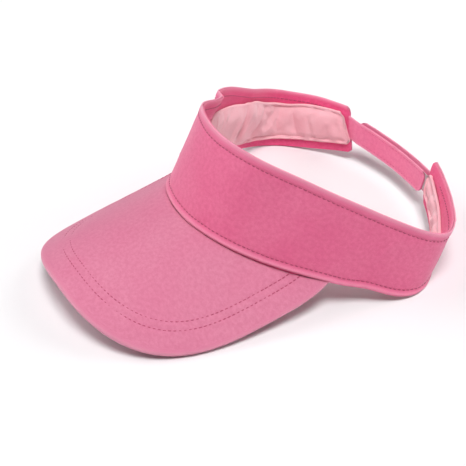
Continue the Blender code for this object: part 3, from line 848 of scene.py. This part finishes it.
def shell_rows():
    """Fractions of the shell's height, closer together near its stitched edges."""
    edge = np.array([0.0, 0.8, 1.6, 2.3, 2.9, 3.4, 3.9, 4.4, 4.9, 5.4, 6.2, 7.4, 9.0]) / 56.0
    low = edge
    high = 1 - edge[::-1]
    middle = np.linspace(low[-1], high[0], 13)[1:-1]
    return list(low) + list(middle) + list(high)


def build_shell(side):
    """Outer twill of one half of the band, folded over at the top."""
    rows = shell_rows()
    outline = loop(rows, 0.45 * MM, 5)
    fraction, extra, offset, _ = outline.T[:, :, None]
    angles = band_columns(side, outline[:, 0], BAND_COLUMNS)
    low, high = band_bottom(angles), band_top(angles)
    height = low + (high - low) * fraction
    relief = shell_relief(side, angles, height - low, high - height)
    rim = bell(high - height, 1.2 * MM)
    points = band(angles, height + extra, SHELL_MIDDLE + offset + relief - rim * 0.1 * MM
                  + buckle(side, angles, height))
    worn = np.maximum(bell(high - height, 1.6 * MM), 0.6 * bell(height - low - 1.0 * MM, 1.2 * MM))
    weave = np.stack([arc_of(angles) * side, height + extra, worn], axis=-1)
    piece = make_piece("band_shell_" + SIDE_NAME[side], mirrored(points, side).reshape(-1, 3),
                       tube_faces(*angles.shape), weave.reshape(-1, 3), "cotton_twill")
    bend_with_side(piece, side)
    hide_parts("front_shell", SIDE_NAME[side] + "_shell")
    return piece


def lining_bottom(angles):
    """Lower edge of the facing, which covers the brim's rear edge at the front."""
    return band_bottom(angles) - 3.4 * MM * ease((70.0 - np.abs(angles)) / 8.0)


def build_facing(side):
    """Inner cloth of one half of the band."""
    rows = np.linspace(0.0, 1.0, 20)
    outline = loop(list(rows), 0.4 * MM, 3)
    fraction, extra, offset, _ = outline.T[:, :, None]
    angles = band_columns(side, outline[:, 0], BAND_COLUMNS)
    low, high = lining_bottom(angles), band_top(angles) - 0.25 * MM
    height = low + (high - low) * fraction
    relief = shell_relief(side, angles, height - band_bottom(angles), high - height) * 0.6
    points = band(angles, height + extra,
                  FACING_MIDDLE + offset + relief + buckle(side, angles, height))
    worn = 0.6 * bell(high - height, 0.7 * MM)
    weave = np.stack([arc_of(angles) * side, height + extra, worn], axis=-1)
    piece = make_piece("band_facing_" + SIDE_NAME[side], mirrored(points, side).reshape(-1, 3),
                       tube_faces(*angles.shape), weave.reshape(-1, 3), "facing_cloth")
    bend_with_side(piece, side)
    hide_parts("front_facing", SIDE_NAME[side] + "_facing")
    return piece


def sweatband_edges(side, angles):
    """Heights of the sweatband's lower and upper edge."""
    low = lining_bottom(angles) + SWEATBAND_BOTTOM_MARGIN * ease((np.abs(angles) - 60.0) / 50.0)
    return low, band_top(angles) - through(SWEATBAND_TOP_MARGIN[side], np.abs(angles))


def sweatband_swell(side, angles, fraction):
    """How far the sweatband's padded face stands out after a cloth simulation, as offsets."""
    rows, columns = 13, 121
    share = np.linspace(0.0, 1.0, rows)
    turns = band_columns(side, share, columns, 1.4)
    low, high = sweatband_edges(side, turns)
    height = low + (high - low) * share[:, None]
    start = 0.15 * MM * ripple(arc_of(turns) * side, height, 7, 15 * MM)
    flat = band(turns, height, -3.55 * MM + start)
    inwards = band(turns, height, -4.55 * MM) - band(turns, height, -3.55 * MM)
    inwards /= np.linalg.norm(inwards, axis=-1, keepdims=True)
    pinned = np.zeros((rows, columns), bool)
    pinned[[0, -1]] = True
    pinned[:, [0, -1]] = True
    moved = settle(flat, pinned, 0.05, SETTLE_PUSH)
    out = -np.clip((moved * inwards).sum(axis=-1), -0.5 * MM, 2.6 * MM) + start * ~pinned
    across = np.clip((angles - turns[0, 0]) / (angles[:, -1:] - turns[0, 0]), 0.0, 1.0) * (columns - 1)
    down = np.clip(fraction + 0 * angles, 0.0, 1.0) * (rows - 1)
    column = np.clip(across.astype(int), 0, columns - 2)
    row = np.clip(down.astype(int), 0, rows - 2)
    right, up = across - column, down - row
    return ((out[row, column] * (1 - right) + out[row, column + 1] * right) * (1 - up)
            + (out[row + 1, column] * (1 - right) + out[row + 1, column + 1] * right) * up)


def build_sweatband(side):
    """Padded sweatband of one half, sewn along its lower edge and round its tab end."""
    rows = np.linspace(0.0, 1.0, 17)
    half = 1.0 * MM
    outline = loop(list(rows), half, 5)
    fraction, extra, offset, face = outline.T[:, :, None]
    angles = band_columns(side, outline[:, 0], 260, 1.4)
    low, high = sweatband_edges(side, angles)
    height = low + (high - low) * fraction
    along = arc_of(angles) * side
    end = arc_of(angles[:, -1:]) - arc_of(angles)
    seam = np.minimum(height - low, end)
    sewn = bell(seam - 1.6 * MM, 1.3 * MM)
    tabbed = ease((np.abs(angles) - 96.0) / 16.0)
    sewn_top = bell(high - height - 1.6 * MM, 1.3 * MM) * tabbed
    free = ease((height - low) / (9 * MM))
    puff = 0.9 * MM * np.sin(np.pi * np.clip(fraction, 0.05, 1.0)) ** 0.7
    inner = face < 0.5
    swell = sweatband_swell(side, angles, fraction)
    fold = along - side * float(arc_of(SWEATBAND_FOLD))
    swell = swell + (1.9 * MM * bell(fold, 1.6 * MM) - 1.5 * MM * bell(fold - 4 * MM, 2.6 * MM)
                     - 0.9 * MM * bell(fold + 4 * MM, 2.2 * MM)) * bell(fraction - 0.55, 0.38)
    bulge = swell - 0.35 * puff - ripple(along, height, 4, 17 * MM) * 0.55 * MM * free
    bulge = bulge - ripple(along, height * 0.3, 9, 7 * MM) * 0.35 * MM * bell(seam, 6 * MM)
    bulge = bulge + 1.15 * MM * np.maximum(sewn, sewn_top)
    shift = np.where(inner, bulge, 0.15 * bulge)
    wander = ripple(along, 0 * along, 6, 26 * MM) * 0.8 * MM * fraction
    points = band(angles, height + extra + wander,
                  -2.55 * MM + offset + shift + buckle(side, angles, height))
    weave = np.stack([along, height + extra, offset + 0 * angles], axis=-1)
    piece = make_piece("sweatband_" + SIDE_NAME[side], mirrored(points, side).reshape(-1, 3),
                       tube_faces(*angles.shape), weave.reshape(-1, 3), "sweatband_terry")
    bend_with_side(piece, side)
    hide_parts("front_sweatband", SIDE_NAME[side] + "_sweatband")
    return piece


def band_stitches(side, which, height_of, last):
    """Topstitching of one half of the band."""
    angles = angle_of(np.linspace(0.4 * MM, arc_of(last), 900))
    height = height_of(angles)
    low, high = height - band_bottom(angles), band_top(angles) - height
    relief = shell_relief(side, angles, low, high)
    sway = buckle(side, angles, height)
    path = mirrored(band(angles, height, OUTER_FACE + relief + sway), side)
    up = mirrored(band(angles, height, 2 * MM) - band(angles, height, 0.0), side)
    if which == "top":
        back = mirrored(band(angles, height, INNER_FACE + 0.6 * relief + sway), side)
        lining = stitches("facing_stitches_" + SIDE_NAME[side], back, -up, sink=0.05 * MM)
        bend_with_side(lining, side)
    piece = stitches(which + "_stitches_" + SIDE_NAME[side], path, up, sink=-0.05 * MM)
    bend_with_side(piece, side)
    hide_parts("front_" + which + "_stitching", SIDE_NAME[side] + "_" + which + "_stitching")
    return piece


# ---------------------------------------------------------------- the brim

def brim_fractions():
    """Fractions along the brim's ribs, closer together near the seam and the edge."""
    inner = np.linspace(0.0, 0.9, 56)
    return np.concatenate([inner, [0.915, 0.93, 0.945, 0.958, 0.968, 0.977, 0.985, 0.991, 0.996, 1.0]])


def brim_relief(flat, distance):
    """Relief of the brim's cover: dents at its stitch rows and a soft hand."""
    relief = np.zeros(flat.shape[:2])
    for seed, insets in ((1, STITCH_OUTER_INSETS), (4, STITCH_INNER_INSETS)):
        relief = relief + stitch_pucker(
            flat[..., 0] + flat[..., 1], row_distance(flat, insets), 0.26 * MM, seed)
    soft = ripple(flat[..., 0], flat[..., 1], 8, 46 * MM) * 0.3 * MM
    soft = soft + ripple(flat[..., 0], flat[..., 1], 2, 15 * MM) * 0.05 * MM
    return relief + soft * np.clip(distance / (10 * MM), 0.0, 1.0)


def row_distance(flat, insets):
    """Distance of places on the brim from a stitch row, by the slope of its level."""
    step = 0.1 * MM
    level = row_level(flat, insets)
    slope_x = (row_level(flat + np.array([step, 0.0]), insets) - level) / step
    slope_y = (row_level(flat + np.array([0.0, step]), insets) - level) / step
    return level / np.maximum(np.hypot(slope_x, slope_y), 1.0)


def build_cover(name, under, look):
    """Upper or under cover of the brim; its outer edge turns towards the other one."""
    seam, edge = brim_ribs(BRIM_COLUMNS)
    rows = brim_fractions()
    fractions = np.tile(rows, (BRIM_COLUMNS, 1))
    reach = np.linalg.norm(edge - seam[:, :2], axis=1)[:, None]
    points, flat = brim_face(seam, edge, fractions)
    normals = grid_normals(points)
    normals[:9] = normals[9]
    normals[-9:] = normals[-10]
    from_edge = reach * (1 - fractions)
    round_edge = 1.75 * MM
    turn = np.clip(1 - from_edge / round_edge, 0.0, 1.0)
    drop = 1.5 * MM * (1 - np.sqrt(np.clip(1 - turn ** 2, 0.0, 1.0)))
    relief = brim_relief(flat, from_edge) * (0.6 if under else 1.0)
    relief = relief - 0.9 * MM * bell(reach * fractions, 1.6 * MM) * ease((reach - 6 * MM) / (14 * MM))
    depth = (2 * BRIM_CORE - COVER_HALF - drop - relief) if under else (COVER_HALF + drop - relief)
    middle = points - normals * depth[:, :, None]
    ends = ease(np.minimum(np.arange(BRIM_COLUMNS), np.arange(BRIM_COLUMNS)[::-1]) / 6.0)
    half = COVER_HALF * (0.55 + 0.45 * ends)[:, None, None]
    outer = middle + normals * half * (-1 if under else 1)
    inner = middle - normals * half * (-1 if under else 1)
    columns = len(rows)
    shell = np.concatenate([outer.transpose(1, 0, 2), inner.transpose(1, 0, 2)[::-1]], axis=0)
    places = np.concatenate([flat.transpose(1, 0, 2), flat.transpose(1, 0, 2)[::-1]], axis=0)
    worn = 0.7 * bell(from_edge, 1.5 * MM).T
    weave = np.concatenate([places, np.concatenate([worn, worn[::-1]])[:, :, None]], axis=2)
    piece = make_piece(name, shell.reshape(-1, 3), tube_faces(2 * columns, BRIM_COLUMNS),
                       weave.reshape(-1, 3), look)
    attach(piece, "front")
    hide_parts("brim_under_cover" if under else "brim_top_cover")
    return piece


def brim_stitches(name, insets, under=False):
    """Row of stitches on the brim."""
    count = 700
    seam, edge = brim_ribs(count)
    low = np.zeros(count)
    high = np.ones(count)
    for _ in range(26):
        middle = (low + high) / 2
        flat = seam[:, :2] + (edge - seam[:, :2]) * middle[:, None]
        beyond = row_level(flat, insets) > 0
        high = np.where(beyond, middle, high)
        low = np.where(beyond, low, middle)
    step = 0.002
    fractions = np.stack([low - step, low, low + step], axis=1)
    points, flat = brim_face(seam, edge, fractions)
    normals = grid_normals(points)
    kept = low > 0.03
    sink = 0.26 * MM
    path = (points - normals * (sink if not under else 2 * BRIM_CORE - sink))[kept, 1]
    up = normals[kept, 1] * (-1 if under else 1)
    piece = stitches(name, path, up, sink=-0.02 * MM)
    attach(piece, "front")
    return piece


def build_brim():
    """Covers, board and stitch rows of the brim."""
    build_cover("brim_top_cloth", False, "brim_twill")
    build_cover("brim_under_cloth", True, "brim_twill")
    outer = brim_stitches("brim_outer_stitches", STITCH_OUTER_INSETS)
    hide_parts("brim_outer_stitching")
    inner = brim_stitches("brim_inner_stitches", STITCH_INNER_INSETS)
    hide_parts("brim_inner_stitching")
    brim_stitches("brim_outer_stitches_under", STITCH_OUTER_INSETS, True)
    brim_stitches("brim_inner_stitches_under", STITCH_INNER_INSETS, True)
    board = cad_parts["brim_board"]
    board.data.materials.clear()
    board.data.materials.append(MATERIALS["brim_board"])


# ---------------------------------------------------------------- the closure

def build_strap(name, starts, tip, low, high, middle, half, look, columns=150, corner=2.0, root=None):
    """Flat strip on a strap arc, from a slanted start to a rounded tip."""
    rows = np.concatenate([[0.0, 0.04, 0.09, 0.14], np.linspace(0.2, 0.8, 7), [0.86, 0.91, 0.96, 1.0]])
    outline = loop(list(rows), half, 3)
    fraction, extra, offset, face = outline.T[:, :, None]
    first = starts[0] + (starts[1] - starts[0]) * fraction
    last = tip - np.sign(tip - starts[0]) * corner_pull(fraction, 0.3) * corner
    turns = first + (last - first) * np.linspace(0.0, 1.0, columns)[None, :]
    height = strap_bottom(turns) + low + (high - low) * fraction
    along = np.radians(turns) * STRAP_RADIUS
    edge = np.minimum(fraction, 1 - fraction) * (high - low)
    relief = stitch_pucker(along, edge - 1.5 * MM, 0.14 * MM, 3) * face
    relief = relief + ripple(along, height, 5, 30 * MM) * 0.12 * MM
    if root is not None:
        share = ease(1 - np.abs(turns - first) / root[0])
        relief = relief + root[1] * share
    points = strap(turns, height + extra, middle + offset + relief)
    weave = np.stack([along, height + extra, 0.7 * bell(edge, 0.8 * MM) + 0 * along], axis=-1)
    return make_piece(name, points.reshape(-1, 3), tube_faces(*turns.shape), weave.reshape(-1, 3), look)


def strap_row(name, starts, tip, rise, offset):
    """Edge stitching of a strap."""
    turns = np.linspace(starts, tip, 500)
    height = strap_bottom(turns) + rise
    path = strap(turns, height, offset)
    sign = 1 if offset > 0 else -1
    up = (strap(turns, height, 2 * MM) - strap(turns, height, 0.0)) * sign
    return stitches(name, path, up, "strap_thread", sink=0.1 * MM)


def pile(name, starts, tip, low, high, base, sign, hooked, look, pitch):
    """Field of tiny hooks or loops standing on a tape."""
    length = abs(math.radians(tip - starts)) * STRAP_RADIUS
    columns, rows = int(length / pitch), int((high - low) / pitch)
    points, faces, weave = [], [], []
    radius = (0.085 if hooked else 0.06) * MM
    for row in range(rows):
        for column in range(columns):
            jitter = math.sin(row * 12.9898 + column * 78.233) * 43758.5453
            jitter -= math.floor(jitter)
            turn = starts + (tip - starts) * (column + 0.5 + 0.4 * (jitter - 0.5)) / columns
            rise = low + (high - low) * (row + 0.5 + (0 if hooked else 0.5 * (jitter - 0.5))) / rows
            heading = 0.0 if hooked else jitter * math.pi
            if hooked and row % 2:
                heading = math.pi
            tall = (0.46 if hooked else 0.85) * MM * (1 if hooked else 0.8 + 0.4 * jitter)
            wide = (0.24 if hooked else 0.42) * MM
            centre = strap(turn, strap_bottom(turn) + rise, base)
            out = strap(turn, strap_bottom(turn) + rise, base + MM) - centre
            out = out / np.linalg.norm(out) * sign
            side = strap(turn + 0.2, strap_bottom(turn) + rise, base) - centre
            side /= np.linalg.norm(side)
            up = np.cross(out, side)
            lean = side * math.cos(heading) + up * math.sin(heading)
            if hooked:
                path = [(0.0, -0.1), (0.0, 0.55), (0.22, 0.9), (0.62, 1.0), (0.95, 0.82), (1.0, 0.6)]
            else:
                path = [(-0.5, -0.1), (-0.62, 0.5), (-0.3, 0.95), (0.3, 0.95), (0.62, 0.5), (0.5, -0.1)]
            across = np.cross(out, lean)
            first = len(points)
            for index, (ahead, high_share) in enumerate(path):
                spot = centre + lean * ahead * wide + out * high_share * tall
                before = path[max(index - 1, 0)]
                after = path[min(index + 1, len(path) - 1)]
                tangent = lean * (after[0] - before[0]) * wide + out * (after[1] - before[1]) * tall
                tangent /= np.linalg.norm(tangent)
                third = np.cross(tangent, across)
                for corner in range(4):
                    angle = math.pi * corner / 2
                    points.append(spot + (across * math.cos(angle) + third * math.sin(angle)) * radius)
                    weave.append((turn * MM, rise, high_share * MM))
            for ring in range(len(path) - 1):
                for corner in range(4):
                    after = (corner + 1) % 4
                    under = first + ring * 4
                    faces.append((under + corner, under + after, under + 4 + after, under + 4 + corner))
            faces.append([first + corner for corner in reversed(range(4))])
            faces.append([first + (len(path) - 1) * 4 + corner for corner in range(4)])
    return make_piece(name, points, faces, weave, look)


def build_closure():
    """Both straps, their tapes and the stitching that holds them."""
    low, high = OUTER_STRAP_RAISE, OUTER_STRAP_RAISE + STRAP_WIDTH
    left = tab_turns(1, low, high)
    right = tab_turns(-1, 0.0, STRAP_WIDTH)
    # Outer strap: sewn on the outside of the left tab and free towards the right.
    root = [turn + OUTER_ROOT_LENGTH for turn in left]
    outer = build_strap("outer_strap_cloth", root, OUTER_STRAP_TIP, low, high, 1.65 * MM, 0.45 * MM,
                        "strap_twill")
    last = OUTER_STRAP_TIP + 1.6
    rows = [strap_row("outer_strap_stitches_low", root[0] - 0.8, last, low + 1.5 * MM, 2.0 * MM),
            strap_row("outer_strap_stitches_high", root[1] - 0.8, last, high - 1.5 * MM, 2.0 * MM)]
    middle_height = float(strap_bottom(left[0])) + (low + high) / 2
    start = strap(left[0] + 0.8, middle_height, 1.65 * MM)
    end = strap(left[0] - 5.0, middle_height, 1.65 * MM)
    for piece in [outer] + rows:
        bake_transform(piece)
    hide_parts("outer_strap", "outer_strap_root")
    hook = build_strap("hook_tape_base", [turn - 1.0 for turn in left], OUTER_STRAP_TIP + 1.5,
                       low + 1.2 * MM, high - 2.8 * MM, 0.85 * MM, 0.2 * MM, "hook_tape", 60, 1.5)
    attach(hook, "outer_strap")
    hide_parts("hook_tape")
    hooks = pile("hook_tape_hooks", left[0] - 1.8, OUTER_STRAP_TIP + 2.6, low + 1.7 * MM, high - 3.3 * MM,
                 0.66 * MM, -1, True, "hook_tape", 0.95 * MM)
    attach(hooks, "outer_strap")
    # Inner strap: comes out of the right tab and runs under the outer one.
    inner = build_strap("inner_strap_cloth", [turn - 0.6 for turn in right], INNER_STRAP_TIP,
                        0.0, STRAP_WIDTH, -2.5 * MM, 0.5 * MM, "strap_twill", root=(5.0, 1.9 * MM))
    last = INNER_STRAP_TIP - 1.6
    rise = STRAP_WIDTH - 1.5 * MM
    rows = [strap_row("inner_strap_stitches_low", right[0] + 5.5, last, 1.5 * MM, -2.95 * MM),
            strap_row("inner_strap_stitches_high", right[1] + 5.5, last, rise, -2.95 * MM)]
    middle_height = float(strap_bottom(right[0])) + STRAP_WIDTH / 2
    start = strap(right[0] + 0.2, middle_height, -2.5 * MM)
    end = strap(right[0] + 6.0, middle_height, -2.5 * MM)
    for piece in [inner] + rows:
        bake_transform(piece)
    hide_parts("inner_strap")
    tape = build_strap("loop_tape_base", [turn + 4.0 for turn in right], INNER_STRAP_TIP - 1.5,
                       1.2 * MM, STRAP_WIDTH - 1.2 * MM, -1.62 * MM, 0.3 * MM, "loop_tape", 60, 1.5)
    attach(tape, "inner_strap")
    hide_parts("loop_tape")
    loops = pile("loop_tape_pile", right[0] + 5.0, INNER_STRAP_TIP - 2.6, 1.6 * MM, STRAP_WIDTH - 1.3 * MM,
                 -1.34 * MM, 1, False, "loop_tape", 0.75 * MM)
    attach(loops, "inner_strap")
    # Box of stitches that holds the outer strap's root.
    near, far = left[0] + 1.4, left[0] + OUTER_ROOT_LENGTH - 1.2
    corners = [(near, low + 2 * MM), (far, low + 2 * MM), (far, high - 2 * MM), (near, high - 2 * MM),
               (near, low + 2 * MM), (far, high - 2 * MM)]
    path, up = [], []
    for (turn_a, rise_a), (turn_b, rise_b) in zip(corners, corners[1:]):
        for share in np.linspace(0.0, 1.0, 20):
            turn = turn_a + (turn_b - turn_a) * share
            height = strap_bottom(turn) + rise_a + (rise_b - rise_a) * share
            path.append(strap(turn, height, 2.12 * MM))
            up.append(strap(turn, height, 3.0 * MM) - strap(turn, height, 2.0 * MM))
    box = stitches("root_box_stitches", np.array(path), np.array(up), pitch=2.6 * MM, sink=0.0)
    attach(box, "left_side")
    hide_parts("root_box_stitching")


# ---------------------------------------------------------------- all of it

make_camera()
make_floor()
make_backdrop()
make_light()
build_brim()
for half in (1, -1):
    build_shell(half)
    build_facing(half)
    build_sweatband(half)
    band_stitches(half, "top", lambda angles: band_top(angles) - TOP_ROW,
                  150.5 if half > 0 else 139.0)
    band_stitches(half, "bottom", lambda angles: band_bottom(angles) + BOTTOM_ROW,
                  150.5 if half > 0 else 147.0)
build_closure()
